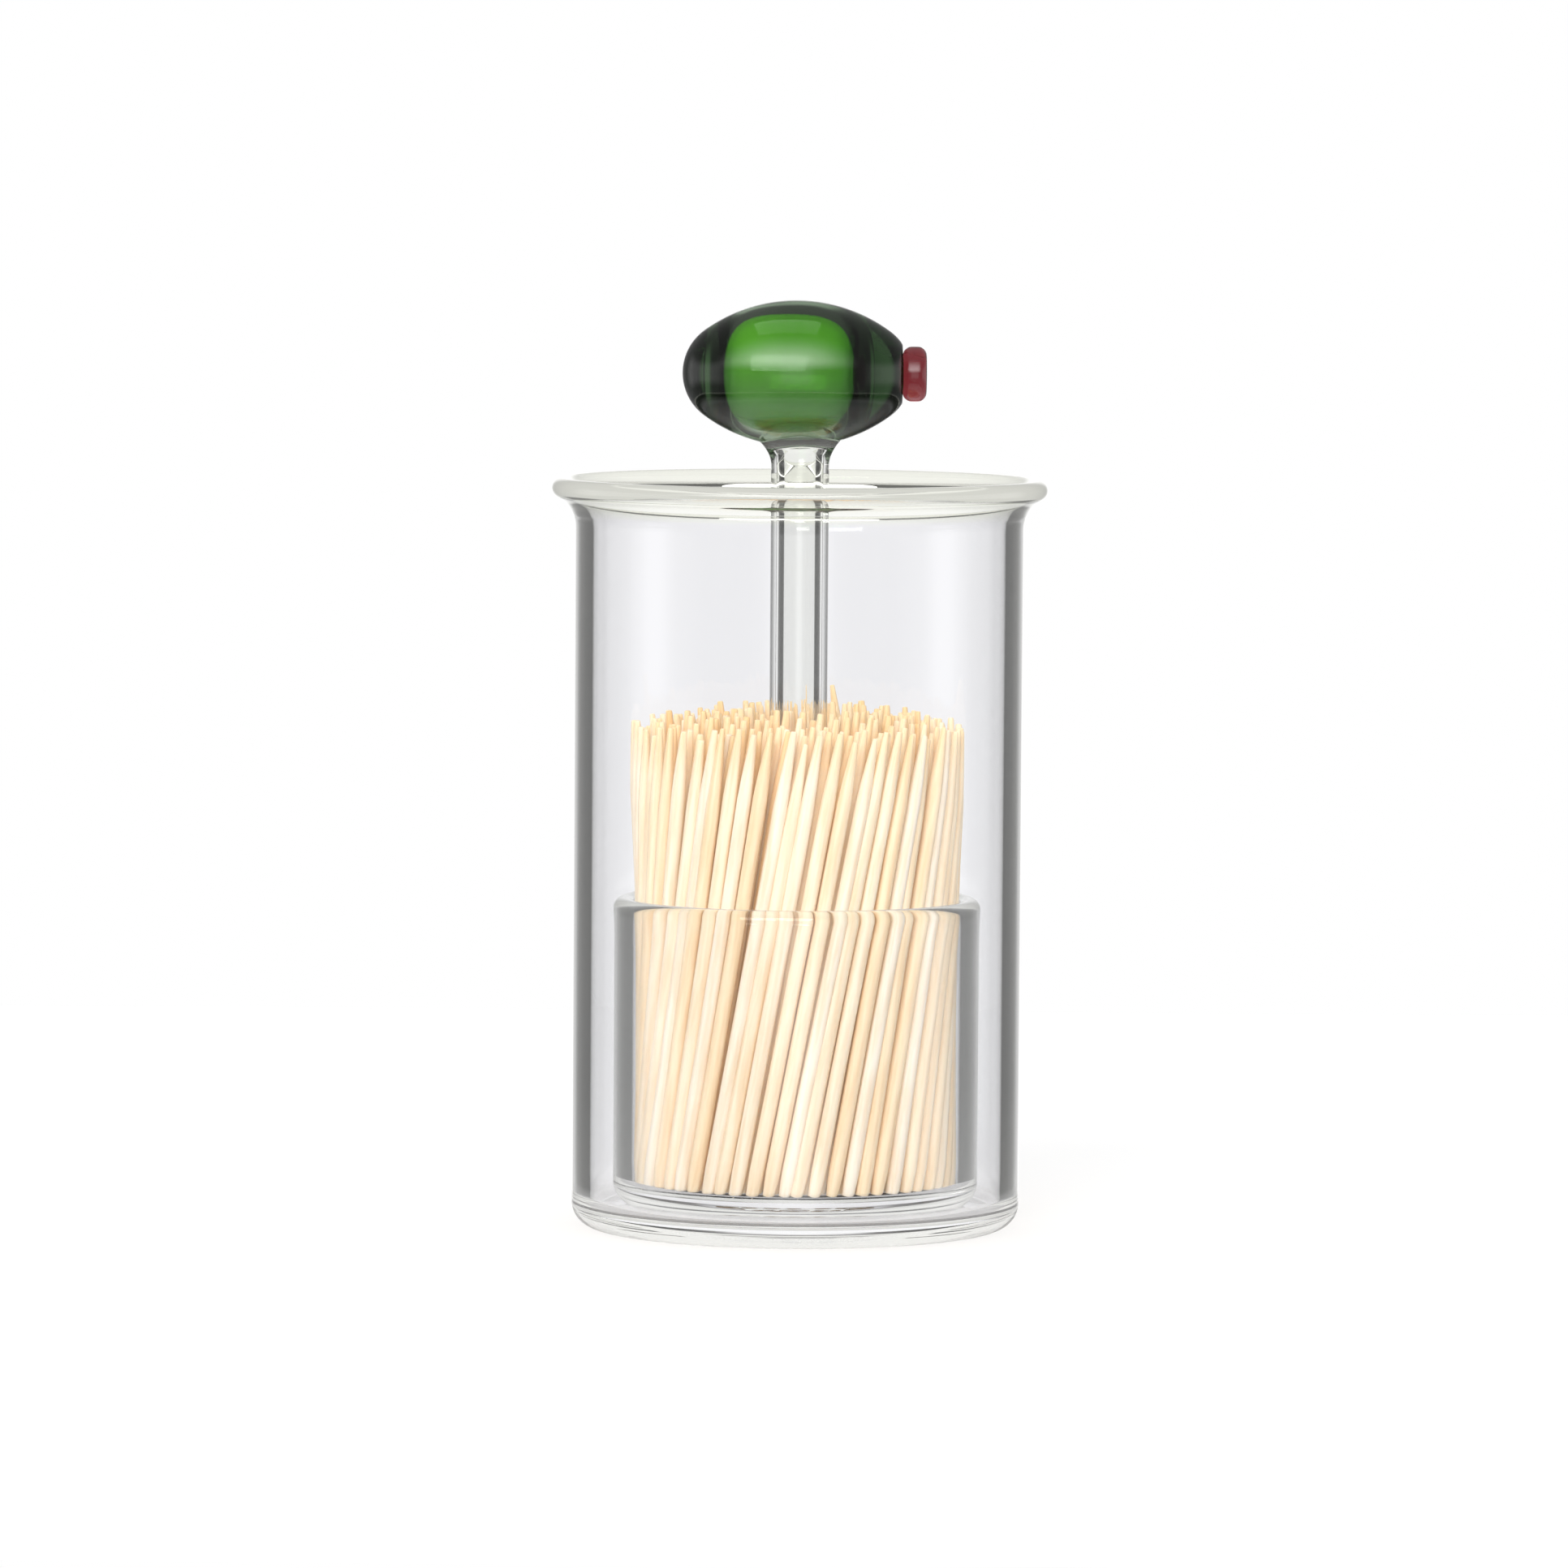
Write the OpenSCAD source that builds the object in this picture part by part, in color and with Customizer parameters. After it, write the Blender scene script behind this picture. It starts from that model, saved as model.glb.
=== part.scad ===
// Glass toothpick holder. A flared clear jar holds a loose clear cup, and the cup holds
// a twisted bundle of toothpicks round a hollow glass stem. The stem carries a green
// glass olive with a red pimento end: lifting the olive lifts the cup out of the jar.
// The origin is the centre of the jar's underside, +Z is up and +X is the pimento's side.

/* [Jar] */
// Outer width of the straight wall
jar_d = 62.6; // [59:0.1:72]
// Height from the underside to the top of the rim
jar_h = 104.9; // [95:0.1:120]
// Thickness of the wall
jar_wall = 2.5; // [1.8:0.1:3]
// Thickness of the floor at its edge
jar_floor = 3; // [2:0.1:5]
// Outer radius of the heel, where the wall turns into the floor
jar_heel_r = 3.4; // [2:0.1:6]
// Inner radius of the heel
jar_in_heel_r = 2; // [1:0.1:2.6]
// How far the flared rim stands out past the straight wall
rim_out = 3.35; // [2.6:0.05:5]
// Thickness of the fire-polished bead round the rim
bead_d = 3; // [2.6:0.05:4]
// Height over which the wall flares out
flare_h = 5.6; // [4.5:0.1:8]

/* [Cup] */
// Gap between the cup and the jar's wall
cup_gap = 3.25; // [1:0.05:5]
// Height of the cup
cup_h = 43.4; // [35:0.1:55]
// Thickness of the cup's wall
cup_wall = 2.6; // [1.8:0.1:3]
// Thickness of the cup's floor at its edge
cup_floor = 3.2; // [2:0.1:5]
// Outer radius of the cup's heel
cup_heel_r = 3.5; // [2:0.1:5]
// Inner radius of the cup's heel
cup_in_heel_r = 1.2; // [0.6:0.1:1.6]
// Thickness of the cup's fire-polished rim
cup_bead_d = 2.9; // [2.6:0.05:3.4]

/* [Handle] */
// Outer width of the hollow stem
stem_d = 8.1; // [7:0.1:10]
// Thickness of the stem's wall
stem_wall = 1.85; // [1.2:0.05:2.5]
// Width of the foot where the stem is sealed to the cup's floor
foot_d = 13; // [11:0.1:14]
// Width of the head where the stem is sealed under the olive
head_d = 11.3; // [10.5:0.1:14]
// Height of the olive's underside above the jar's rim
olive_rise = 4.4; // [3.5:0.1:12]
// Length of the olive's oval, with the end that is cut off for the pimento
olive_l = 32; // [28:0.1:38]
// Thickness of the olive across its middle
olive_d = 20.4; // [18:0.1:24]
// Radius of the olive's rounded ends
olive_end_r = 7.4; // [6.5:0.1:8.5]
// Length of the hollow inside the olive
cavity_l = 20.6; // [17:0.1:23]
// Thickness of the olive's wall across its middle
olive_wall = 1.9; // [1.4:0.1:3]
// How far the olive sits to the left of the stem
olive_shift = 0.5; // [0:0.1:2]
// Outer width of the pimento
pimento_d = 7.7; // [6.8:0.1:8.4]
// Length of the pimento outside the olive
pimento_l = 3.4; // [2.8:0.1:4.5]

/* [Toothpicks] */
// Length of the longest toothpick
pick_l = 66.2; // [58:0.1:70]
// Thickness of a toothpick
pick_d = 2; // [1.8:0.05:2.4]
// Length of the taper at each end
taper_l = 10; // [4:0.5:14]
// How far the bundle is twisted from its feet to its tops, in degrees
twist = 30; // [10:1:36]

/* [Hidden] */
$fn = 96;

// Overrun of a cut past the face that it opens
over = 1;

// Jar
jar_r = jar_d / 2;
jar_in_r = jar_r - jar_wall;
jar_mid_r = jar_r - jar_wall / 2;
// The underside is pushed up a little, so that the jar stands on a ring
jar_kick = 0.8;
jar_stand_w = 4;
bead_r = bead_d / 2;
bead_x = jar_r + rim_out - bead_r;
bead_z = jar_h - bead_r;
flare_z = bead_z - flare_h;
// The flare is an arc that leaves the wall upright and ends at the bead's centre
flare_out = bead_x - jar_mid_r;
flare_r = (flare_out * flare_out + flare_h * flare_h) / (2 * flare_out);
flare_a = 2 * atan(flare_out / flare_h);

// Cup, which stands on the jar's floor
cup_r = jar_in_r - cup_gap;
cup_in_r = cup_r - cup_wall;
cup_z = jar_floor;
cup_top_z = cup_z + cup_h;
cup_floor_z = cup_z + cup_floor;
cup_kick = 0.6;
cup_stand_w = 4;

// Olive, an oval of four arcs turned about its long axis, which lies along X
olive_a = olive_l / 2;
olive_b = olive_d / 2;
olive_z = jar_h + olive_rise + olive_b;
// The end that carries the pimento is cut where the oval is this share wider than it
olive_mouth_share = 1.09;
mouth_r = olive_mouth_share * pimento_d / 2;
cut_x = olive_a - olive_end_r + sqrt(olive_end_r * olive_end_r - mouth_r * mouth_r);

// The hollow is an oval too, and lies a little away from the pimento
cavity_a = cavity_l / 2;
cavity_b = olive_b - olive_wall;
cavity_end_share = 0.8;
cavity_end_r = cavity_end_share * cavity_b;
cavity_shift = 1;

// Pimento, a round-edged button with a plug that closes the olive's mouth
pimento_r = pimento_d / 2;
pimento_edge_r = 1.3;
plug_r = 2.4;
plug_l = 1.4;
dimple_r = 2;
dimple_deep = 0.7;

// Stem
stem_r = stem_d / 2;
bore_r = stem_r - stem_wall;
foot_r = foot_d / 2;
foot_lip = 0.3;
foot_fillet = foot_r - stem_r;
head_r = head_d / 2;
head_fillet = 2.8;
// Height of the concave flare from the stem's wall to the head's width
head_flare = sqrt(pow(head_fillet, 2) - pow(head_fillet - head_r + stem_r, 2));
// The head is at its full width level with the olive's lowest point
head_z = olive_z - olive_b - head_flare;

// Toothpicks
pick_r = pick_d / 2;
tip_r = 0.4;
// Running gap between neighbouring toothpicks, and between them and the glass
pick_gap = 0.06;
glass_gap = 0.1;
pick_seat = 0.15;
// A toothpick is up to this much shorter than the longest
uneven = 2;
// The bundle's top is this many times as wide as its foot
spread_share = 1.04;
// A straight toothpick passes nearer the axis at mid height, by this share
waist_share = sqrt(1 + pow(spread_share, 2) + 2 * spread_share * cos(twist)) / 2;
// Radius of the outermost ring of feet, and the least radius of the innermost
ring_out_r = cup_in_r - max(0, (cup_bead_d - cup_wall) / 2) - glass_gap - pick_r;
ring_in_r = max(foot_r + tip_r, (stem_r + pick_r) / waist_share) + glass_gap;
ring_steps = floor((ring_out_r - ring_in_r) * waist_share / (pick_d + pick_gap));
ring_step = (ring_out_r - ring_in_r) / ring_steps;
rings = ring_steps + 1;
// The rings are shared out among this many nodes, from the outside in
row_groups = 4;
// The toothpick that is being drawn out: how far round the outer ring, and how far it stands up
drawn_turn_share = 0.125;
drawn_up = 3.2;
seed = 7;

function ring_r(i) = ring_out_r - i * ring_step;
// Distance in plan between a toothpick's foot and its top, for a foot at radius r
function lean(r) = r * sqrt(1 + pow(spread_share, 2) - 2 * spread_share * cos(twist));
function upright_share(r) = cos(asin(lean(r) / pick_l));
// How many toothpicks fit round a ring, side by side
function ring_count(i) =
    floor(180 / asin((pick_d + pick_gap) / (2 * ring_r(i) * waist_share * upright_share(ring_r(i)))));
function ring_phase(i) = rands(0, 360 / ring_count(i), 1, seed + i)[0];
drawn_slot = round(drawn_turn_share * ring_count(0));
// Radius of the arcs above and below an oval of half length a, half width b and end radius e
function side_r(a, b, e) = (a * a + b * b - 2 * a * e) / (2 * (b - e));
// Radius of the sphere whose cap is h high and 2 * c wide
function cap_r(c, h) = (c * c + h * h) / (2 * h);

// Half section of a straight pot with a rounded heel, from its axis outwards
module pot_half(r, h, heel) {
    square([r - heel, h]);
    translate([0, heel]) square([r, h - heel]);
    translate([r - heel, heel]) circle(heel);
}

// Half section of the shallow dome that is pushed up into an underside
module kick_half(c, h) {
    intersection() {
        translate([0, h - cap_r(c, h)]) circle(cap_r(c, h), $fn = 720);
        square([c + over, h + over]);
    }
}

// Half section of the jar's flare, an arc of the wall's thickness
module flare_half() {
    reach = 2 * (flare_r + jar_wall);
    translate([jar_mid_r + flare_r, flare_z]) intersection() {
        difference() {
            circle(flare_r + jar_wall / 2);
            circle(flare_r - jar_wall / 2);
        }
        polygon([[0, 0], [-reach, 0], [-reach * cos(flare_a), reach * sin(flare_a)]]);
    }
}

module jar_half() {
    difference() {
        pot_half(jar_r, flare_z, jar_heel_r);
        translate([0, jar_floor]) pot_half(jar_in_r, flare_z, jar_in_heel_r);
        kick_half(jar_r - jar_heel_r - jar_stand_w, jar_kick);
    }
    flare_half();
    translate([bead_x, bead_z]) circle(bead_r);
}

module cup_half() {
    difference() {
        pot_half(cup_r, cup_h - cup_bead_d / 2, cup_heel_r);
        translate([0, cup_floor]) pot_half(cup_in_r, cup_h, cup_in_heel_r);
        kick_half(cup_r - cup_heel_r - cup_stand_w, cup_kick);
    }
    translate([cup_r - cup_wall / 2, cup_h - cup_bead_d / 2]) circle(cup_bead_d / 2);
}

// Half section of the oval, drawn with its long axis upright
module oval_half(a, b, e) {
    side = side_r(a, b, e);
    turn_y = side * (a - e) / (side - e);
    intersection() {
        union() {
            intersection() {
                translate([b - side, 0]) circle(side, $fn = 360);
                translate([0, -turn_y]) square([b, 2 * turn_y]);
            }
            for (s = [-1, 1]) translate([0, s * (a - e)]) circle(e);
        }
        translate([0, -a]) square([b, 2 * a]);
    }
}

// Turns a half section about X, through the olive's middle
module about_x() {
    translate([-olive_shift, 0, olive_z]) rotate([0, 90, 0]) rotate_extrude() children();
}

module olive_form() {
    about_x() oval_half(olive_a, olive_b, olive_end_r);
}

module glass_jar() {
    color("AliceBlue", 0.3) rotate_extrude() jar_half();
}

module pick_cup() {
    color("LightCyan", 0.4) translate([0, 0, cup_z]) rotate_extrude() cup_half();
}

// Half section of the stem, from the cup's floor to inside the olive
module stem_half() {
    difference() {
        union() {
            translate([0, cup_floor_z]) square([stem_r, olive_z - cup_floor_z]);
            // Foot
            difference() {
                translate([0, cup_floor_z]) square([foot_r, foot_lip + foot_fillet]);
                translate([foot_r, cup_floor_z + foot_lip + foot_fillet]) circle(foot_fillet);
            }
            // Head
            difference() {
                translate([0, head_z]) square([head_r, olive_z - head_z]);
                translate([stem_r + head_fillet, head_z]) circle(head_fillet);
            }
        }
        translate([0, cup_floor_z - over]) square([bore_r, olive_z]);
    }
}

module handle_stem() {
    color("Azure", 0.4) difference() {
        rotate_extrude() stem_half();
        olive_form();
    }
}

module olive() {
    color("OliveDrab", 0.8) about_x() difference() {
        oval_half(olive_a, olive_b, olive_end_r);
        translate([0, -cavity_shift]) oval_half(cavity_a, cavity_b, cavity_end_r);
        translate([0, cut_x]) square([olive_b, olive_a]);
        translate([0, cut_x - plug_l]) square([plug_r, olive_a]);
    }
}

module pimento() {
    flat_r = pimento_r - pimento_edge_r;
    color("Maroon") about_x() difference() {
        union() {
            translate([0, cut_x - plug_l]) square([plug_r, plug_l + pimento_l / 2]);
            translate([0, cut_x]) square([flat_r, pimento_l]);
            translate([0, cut_x + pimento_edge_r])
                square([pimento_r, pimento_l - 2 * pimento_edge_r]);
            for (y = [pimento_edge_r, pimento_l - pimento_edge_r])
                translate([flat_r, cut_x + y]) circle(pimento_edge_r);
        }
        // Concave end
        translate([0, cut_x + pimento_l - dimple_deep + cap_r(dimple_r, dimple_deep)])
            circle(cap_r(dimple_r, dimple_deep));
        mirror([1, 0]) square([pimento_d, olive_l]);
    }
}

// One double-pointed toothpick, standing on its tip
module pick(length) {
    rotate_extrude($fn = 24) polygon([
        [0, 0], [tip_r, 0], [pick_r, taper_l],
        [pick_r, length - taper_l], [tip_r, length], [0, length]
    ]);
}

// A toothpick in the twisted bundle, from its foot's angle and its ring's radius
module leaning_pick(r, angle, length, up) {
    foot = [r * cos(angle), r * sin(angle)];
    top = [r * spread_share * cos(angle + twist), r * spread_share * sin(angle + twist)];
    way = top - foot;
    tilt = asin(lean(r) / pick_l);
    translate([foot.x, foot.y, cup_floor_z + pick_seat])
        rotate([0, tilt, atan2(way.y, way.x)])
            translate([0, 0, up]) pick(length);
}

module pick_ring(i) {
    count = ring_count(i);
    short = rands(0, uneven, count, seed - i);
    for (k = [0:count - 1])
        if (i > 0 || k != drawn_slot)
            leaning_pick(ring_r(i), ring_phase(i) + k * 360 / count, pick_l - short[k], 0);
}

// The rings of one node, out of row_groups
module pick_rows(group) {
    color("BurlyWood")
        for (i = [0:rings - 1])
            if (floor(i * row_groups / rings) == group) pick_ring(i);
}

module drawn_toothpick() {
    color("Wheat")
        leaning_pick(ring_r(0), ring_phase(0) + drawn_slot * 360 / ring_count(0), pick_l, drawn_up);
}

glass_jar();
pick_cup();
handle_stem();
olive();
pimento();
pick_rows(0);  // toothpicks_outer
pick_rows(1);  // toothpicks_second
pick_rows(2);  // toothpicks_third
pick_rows(3);  // toothpicks_inner
drawn_toothpick();
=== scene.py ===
"""Glass toothpick holder: a flared jar, a loose cup of toothpicks and an olive handle.

The object's sizes and the camera's place are in millimetres, and the MM factor turns them into
Blender's metres. The floor's and the lamps' sizes are in metres. The glass is made as closed
lathed bodies, so that it bends light as the real walls do.
"""
import math
import random

import bmesh
import bpy
from mathutils import Matrix, Vector


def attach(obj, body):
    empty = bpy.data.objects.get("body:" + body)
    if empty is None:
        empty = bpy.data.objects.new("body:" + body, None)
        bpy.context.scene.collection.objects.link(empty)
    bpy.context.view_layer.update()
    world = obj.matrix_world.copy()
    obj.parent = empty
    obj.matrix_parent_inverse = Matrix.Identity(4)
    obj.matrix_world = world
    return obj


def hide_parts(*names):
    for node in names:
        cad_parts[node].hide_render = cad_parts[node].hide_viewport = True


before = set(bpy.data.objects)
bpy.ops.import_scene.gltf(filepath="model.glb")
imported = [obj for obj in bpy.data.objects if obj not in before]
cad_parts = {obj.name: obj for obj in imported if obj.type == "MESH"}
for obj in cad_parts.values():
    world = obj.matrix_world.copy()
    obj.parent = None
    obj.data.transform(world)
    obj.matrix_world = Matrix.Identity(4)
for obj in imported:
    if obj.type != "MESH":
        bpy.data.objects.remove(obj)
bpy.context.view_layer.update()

MM = 0.001

# Jar
JAR_R = 31.3
JAR_WALL = 2.5
JAR_H = 104.9
JAR_FLOOR = 3.0
JAR_HEEL = 3.4
JAR_IN_HEEL = 2.0
JAR_KICK = 0.8
STAND_W = 4.0
RIM_R = 34.65
JAR_BEAD = 1.5
FLARE_H = 5.6

# Cup
CUP_R = 25.55
CUP_WALL = 2.6
CUP_H = 43.4
CUP_FLOOR = 3.2
CUP_HEEL = 3.5
CUP_IN_HEEL = 1.2
CUP_KICK = 0.6
CUP_BEAD = 1.45

# Stem
STEM_R = 4.05
BORE_R = 2.2
BORE_TOP_R = 2.7
BORE_FLARE = 1.0
BORE_BOTTOM = 0.2
BORE_CORNER = 0.8
FOOT_R = 6.5
HEAD_R = 5.65
HEAD_FILLET = 2.8
# How far fused pieces reach into each other
SEAL = 0.02

# Olive, an oval of four arcs: half length, half width, end radius
OLIVE = (16.0, 10.2, 7.4)
# Its hollow, a barrel: half length, half width, fullness of its shoulders
CAVITY = (10.3, 8.3, 2.6)
OLIVE_SHIFT = -0.5
CAVITY_SHIFT = -1.0
OLIVE_RISE = 4.4
MOUTH_R = 4.2
PLUG_R = 2.4
PLUG_L = 1.4
PIMENTO_R = 3.85
PIMENTO_L = 3.4
PIMENTO_EDGE = 1.3
DIMPLE_R = 2.0
DIMPLE_DEEP = 0.7

# Toothpicks
PICK_R = 1.0
PICK_SIDES = 10
TAPER_L, TAPER_SPREAD = 10.0, (0.8, 1.1)
FOOT_TAPER = 3.5
# The tips' half widths, how much wider the feet are, and how thin the middle can be
TIP_R, FOOT_WIDER, THIN = (0.32, 0.46), 0.4, 0.965
# The rings of the bundle, and the most that their tops are raised by. The least is a third of it.
RINGS = [
    ("toothpicks_outer", 0.0),
    ("toothpicks_second", 0.9),
    ("toothpicks_third", 1.7),
    ("toothpicks_inner", 2.2),
]
# How far the ends wander round the stem, and the shares of it by which tops sink and feet wander
UNEVEN, SINK_SHARE, FOOT_SHARE = 0.45, 0.5, 0.4
# The most an end wanders, in times the usual, and the share of its sinking that it leans in by
WANDER_MOST, LEAN_IN = 2.2, 0.6
# Toothpicks whose feet stand this far out lean out a little more at the top
OUTER_RING_R, LEAN_OUT = 21.2, 0.5
# The mean and the spread of the toothpicks' tones, how the fibres' noise is laid round and along
# them, and the stretch of noise in which each has its own place
TONE_MEAN, TONE_SPREAD = 0.62, 0.2
FIBRE_ROUND, FIBRE_ALONG, FIBRE_PLACES = 1.3, 0.09, 500
# The heights between which the tops turn brown
BROWN_FROM, BROWN_TO = 64, 73

# Heights that follow from these sizes
OLIVE_Z = JAR_H + OLIVE_RISE + OLIVE[1]
CUP_Z = JAR_FLOOR
CUP_FLOOR_Z = CUP_Z + CUP_FLOOR

# Facets round a lathed form, and the seed of the toothpicks' random draws
TURNS = 192
SEED = 11

# Clear glass: its colour, the rim's tint and the heights between which it sets in, and the tone
# of the painted glow that stands in for the light trapped in it, at the foot and above
JAR_GLASS = {
    "clear": (0.98, 0.98, 0.992),
    "tint": (0.955, 0.962, 0.885),
    "rim": (99.5, 103),
    "glow": (0.9, 0.7),
}
CUP_GLASS = {
    "clear": (0.98, 0.98, 0.985),
    "tint": (0.97, 0.975, 0.955),
    "rim": (43.5, 45.5),
    "glow": (0.9, 0.75),
}
# Coloured glass: the colour of its surface, of its depth and of the painted glow that stands in
# for its trapped light, that of the light it lets through to matt surfaces, and the olive's
# lining at its foot and its head, darker and greyer at the foot as painted shade and reflection
OLIVE_GLASS = {
    "surface": (0.96, 0.985, 0.95),
    "deep": (0.3, 0.47, 0.27),
    "density": 370,
    "glow": (0.035, 0.125, 0.015),
    "shadow": (0.25, 0.5, 0.12),
    "lining": ((0.19, 0.4, 0.13), (0.22, 0.72, 0.04)),
}
PIMENTO_GLASS = {
    "surface": (0.95, 0.7, 0.74),
    "deep": (0.55, 0.05, 0.1),
    "density": 480,
    "glow": (0.1, 0.03, 0.04),
    "shadow": (0.7, 0.25, 0.28),
}
# Bamboo: its colours by each toothpick's tone, the streaks that darken them and how strongly,
# what the tops turn brown by, and a faint painted glow that stands in for the light that the pale
# sticks pass on to each other and lifts the shade between them
WOOD_TONES = [
    (0.0, (0.89, 0.63, 0.36)),
    (0.3, (0.95, 0.735, 0.49)),
    (0.65, (0.98, 0.81, 0.61)),
    (1.0, (0.99, 0.87, 0.73)),
]
STREAKS, STREAK_SHARE = [(0.35, (0.86, 0.80, 0.70)), (0.6, (1, 1, 1))], 0.8
WOOD_BROWN = (0.94, 0.855, 0.71)
WOOD_PAINTED_GLOW, WOOD_PAINTED_GLOW_STRENGTH = (1.0, 0.8, 0.56), 0.05
GLASS_IOR = 1.47
CLEAR_SHADOW = (0.985, 0.985, 0.985)
# Strength and depth of the draw lines, of coloured glass's clouds and of the wood's fibres, and
# the tone of coloured glass in a cloud
DRAW_LINES = (0.02, 0.4)
CLOUDS = (0.03, 0.5)
FIBRES = (0.35, 0.08)
CLOUD_TONE = 0.94
# Light mirrored more often than this is taken as trapped and replaced by a painted glow, as
# yellow as this in clear glass
OFTEN = 2.5
PAINTED_GLOW_YELLOW = 0.955
# The heights between which the tone of the painted glow for trapped light changes from the
# foot's to the wall's
PAINTED_GLOW_HEIGHTS = (8, 20)
# The heights, from the olive's middle, between which the olive's lining changes its tone, from
# the darker, greyer foot of painted shade and painted reflection to the bright green head
LINING_PAINTED_SHADE_HEIGHTS = (-5, 4)

# What glass mirrors of the studio. The walls' tones go by degrees away from the front or the
# back, and as a ray climbs or sinks past WALL_EDGE they turn into the ceiling's tone, then below
# GROUND into the floor's white. The rays' heights are the Z of their directions.
PANELS = [
    (0, 1.0), (9, 0.8), (14, 0.26), (19, 0.1), (28, 0.05), (38, 0.07), (60, 0.1), (90, 0.12)
]
WALL_EDGE = (0.12, 0.4)
GROUND = (-0.85, -0.5)
CEILING = 0.12
# Side walls, a soft box and an even light that only the outermost surfaces mirror. The box has
# its turn from the front in degrees, the fading edges of its sides in radians and of its foot
# and head in rays' heights, and its light.
SIDES_FROM, SIDES_TO, SIDES = 46, 70, 0.85
BOX_TURN = 9
BOX_SIDES = (0.15, 1.05)
BOX_FOOT = (0.08, 0.38)
BOX_HEAD = (0.35, 0.95)
BOX_LIGHT = 6.5
ROOM_LIGHT = 0.22
# Light bent this many degrees aside comes from darker walls, unless it runs steeply up or down
BENT_FROM, BENT_TO = 40, 60
BENT_STEEP = (0.5, 0.9)
# A ray that has crossed more surfaces than DEEP is darkened less, and sees the panels spread out
DEEP = 3.5
BENT_DARK, DEEP_BENT_DARK = 0.85, 0.6
DEEP_SPREAD = 0.45
# Straight beside the object the walls are light again, so that it looks clear from there too
BESIDE_FROM, BESIDE_TO, BESIDE = 74, 84, 0.7

# The floor's half width and cells, its paper, its own light, and the radii between which it
# ends for mirrored rays
FLOOR_HALF, FLOOR_CELLS = 0.32, 8
FLOOR_PAPER, FLOOR_LIGHT = 0.55, 0.3
FLOOR_SHOWN, FLOOR_GONE = 0.036, 0.060

# Lamps: name, place, target, size and watts
LAMPS = [
    ("key", (-0.35, -1.5, 0.7), (0, 0, 0.06), (1.3, 0.9), 21),
    ("top", (0.0, 0.1, 1.3), (0, 0, 0.08), (0.7, 0.7), 3),
]


# Outlines

def arc(cx, cy, r, start, end, steps):
    """Points along an arc, with angles in degrees."""
    points = []
    for i in range(steps + 1):
        a = math.radians(start + (end - start) * i / steps)
        points.append((cx + r * math.cos(a), cy + r * math.sin(a)))
    return points


def line(a, b, steps):
    """Points from a towards b, without either end."""
    return [
        (a[0] + (b[0] - a[0]) * i / steps, a[1] + (b[1] - a[1]) * i / steps)
        for i in range(1, steps)
    ]


def joined(*runs):
    """One outline from several runs of points, without doubled points."""
    out = []
    for run in runs:
        for p in run:
            if not out or math.dist(p, out[-1]) > 1e-4:
                out.append(p)
    return out


def eased(points, keep, rounds):
    """Rounds off small creases. Each point that keep() doesn't hold drifts towards the middle of
    its neighbours."""
    for _ in range(rounds):
        new = list(points)
        for i in range(1, len(points) - 1):
            if not keep(points[i]):
                a, b, c = points[i - 1], points[i], points[i + 1]
                new[i] = (
                    b[0] / 2 + (a[0] + c[0]) / 4,
                    b[1] / 2 + (a[1] + c[1]) / 4,
                )
        points = new
    return points


def kick(c, h, steps):
    """The shallow dome pushed up into an underside, from the axis out to radius c."""
    r = (c * c + h * h) / (2 * h)
    half = math.degrees(math.asin(c / r))
    return arc(0, h - r, r, 90, 90 - half, steps)


def jar_outline():
    """The jar's wall in one run, from the underside's middle over the rim to the floor's middle."""
    mid = JAR_R - JAR_WALL / 2
    bead_x = RIM_R - JAR_BEAD
    bead_z = JAR_H - JAR_BEAD
    flare_z = bead_z - FLARE_H
    out = bead_x - mid
    flare_r = (out * out + FLARE_H * FLARE_H) / (2 * out)
    flare_a = math.degrees(math.asin(FLARE_H / flare_r))
    cx = mid + flare_r
    in_r = JAR_R - JAR_WALL
    stand = JAR_R - JAR_HEEL - STAND_W
    # In degrees, how far each arc of the flare stops short of the bead, and how far the bead's
    # own arc runs on past a half circle at each end. The two melt together above melt_z.
    short, past = 12, 22
    melt_z = flare_z + 2
    points = joined(
        kick(stand, JAR_KICK, 12),
        line((stand, 0), (JAR_R - JAR_HEEL, 0), 4),
        arc(JAR_R - JAR_HEEL, JAR_HEEL, JAR_HEEL, -90, 0, 20),
        line((JAR_R, JAR_HEEL), (JAR_R, flare_z), 24),
        arc(cx, flare_z, flare_r - JAR_WALL / 2, 180, 180 - flare_a + short, 16),
        arc(bead_x, bead_z, JAR_BEAD, -flare_a - past, 180 - flare_a + past, 40),
        arc(cx, flare_z, flare_r + JAR_WALL / 2, 180 - flare_a + short, 180, 16),
        line((in_r, flare_z), (in_r, JAR_FLOOR + JAR_IN_HEEL), 24),
        arc(in_r - JAR_IN_HEEL, JAR_FLOOR + JAR_IN_HEEL, JAR_IN_HEEL, 0, -90, 16),
        line((in_r - JAR_IN_HEEL, JAR_FLOOR), (0, JAR_FLOOR), 10),
        [(0, JAR_FLOOR)],
    )
    return eased(points, lambda p: p[1] < melt_z, rounds=6)


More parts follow.
